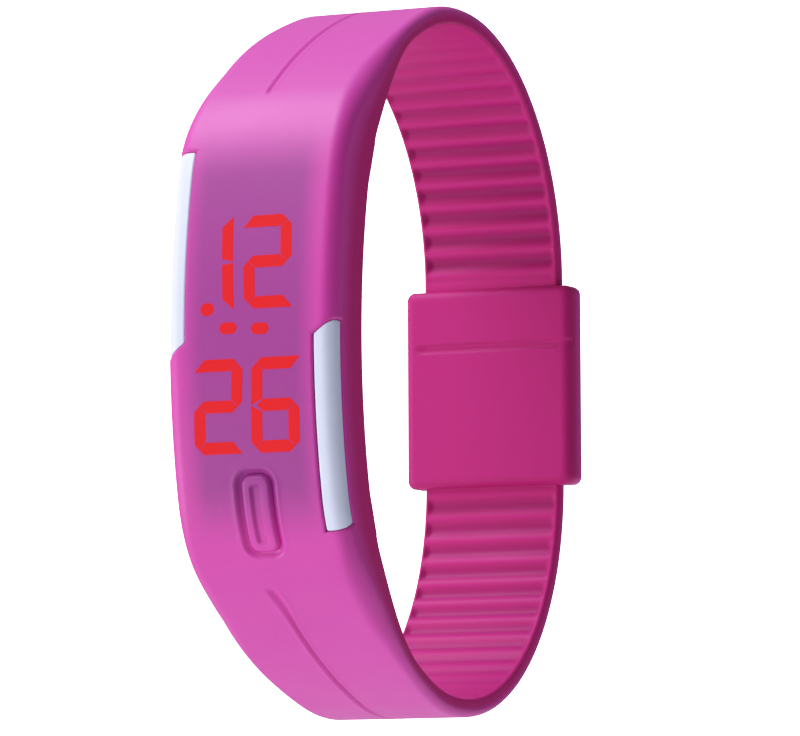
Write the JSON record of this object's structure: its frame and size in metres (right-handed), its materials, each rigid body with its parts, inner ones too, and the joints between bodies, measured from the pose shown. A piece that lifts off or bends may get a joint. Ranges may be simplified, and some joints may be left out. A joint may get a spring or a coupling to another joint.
{
  "type": "fitness tracker band",
  "caption": "Closed silicone wrist band with a lit digit display, a pressable touch key, white side trims, grip ribs inside and a plug-in clasp; both strap halves bend open.",
  "frame": {"origin": "centre of the closed loop, on the axis the wrist passes along, halfway across the strap width", "axes": "+X across the strap, along the wrist; -Y towards the display, +Y towards the clasp; +Z towards the end of the loop above the hour digits"},
  "size_m": [0.0222, 0.0706, 0.0844],
  "materials": {
    "band_silicone": "soft matte",
    "key_silicone": "soft matte",
    "clasp_silicone": "soft matte",
    "trim_white": "satin",
    "module_plastic": "matte",
    "cover_plastic": "matte",
    "seal_rubber": "matte",
    "screw_steel": "bright",
    "mask_plastic": "matte",
    "digit_light": "lit red",
    "unlit_guide": "unlit",
    "board_green": "solder mask",
    "led_body": "clear",
    "chip_black": "matte",
    "crystal_can": "satin",
    "chip_ceramic": "matte",
    "cell_steel": "satin",
    "contact_metal": "bright",
    "spring_steel": "satin",
    "flex_film": "film"
  },
  "bodies": {
    "pod": {"band_sleeve": "band_silicone", "module_shell": "module_plastic", "back_cover": "cover_plastic", "back_seal": "seal_rubber", "back_screws": "screw_steel", "left_side_trim": "trim_white", "right_side_trim": "trim_white", "light_mask": "mask_plastic", "hour_digits": "digit_light", "minute_digits": "digit_light", "colon_dots": "digit_light", "indicator_dot": "digit_light", "unlit_segments": "unlit_guide", "circuit_board": "board_green", "led_chips": "led_body", "controller_chip": "chip_black", "quartz_crystal": "crystal_can", "board_parts": "chip_ceramic", "coin_cell": "cell_steel", "battery_clip": "spring_steel", "battery_contact": "contact_metal", "switch_flex": "flex_film", "switch_base": "chip_black"},
    "touch_key": {"touch_pad": "key_silicone", "key_plunger": "module_plastic", "switch_plunger": "chip_black"},
    "upper_band": {"upper_strap": "band_silicone", "plug_cover_inner": "clasp_silicone", "plug_cover_outer": "clasp_silicone", "plug_tongue": "spring_steel", "plug_strap_pin": "screw_steel"},
    "lower_band": {"lower_strap": "band_silicone", "socket_cover_inner": "clasp_silicone", "socket_cover_outer": "clasp_silicone", "socket_strap_pin": "screw_steel", "latch_springs": "spring_steel"}
  },
  "joints": [
    {"name": "upper_flex", "type": "hinge", "parent": "pod", "child": "upper_band", "pos_m": [0, -0.00232, 0.04015], "axis": [1, 0, 0], "range_deg": [0, 50], "stiffness_Nm_per_rad": 0.02},
    {"name": "lower_flex", "type": "hinge", "parent": "pod", "child": "lower_band", "pos_m": [0, -0.00232, -0.04015], "axis": [1, 0, 0], "range_deg": [-46, 0], "stiffness_Nm_per_rad": 0.02},
    {"name": "touch_key_press", "type": "slide", "parent": "pod", "child": "touch_key", "axis": [0, 0.9488, 0.316], "range_m": [0, 0.0003], "stiffness_N_per_m": 800}
  ],
  "couplings": [
    {"joint": "lower_flex", "follows": "upper_flex", "ratio": -0.91}
  ]
}
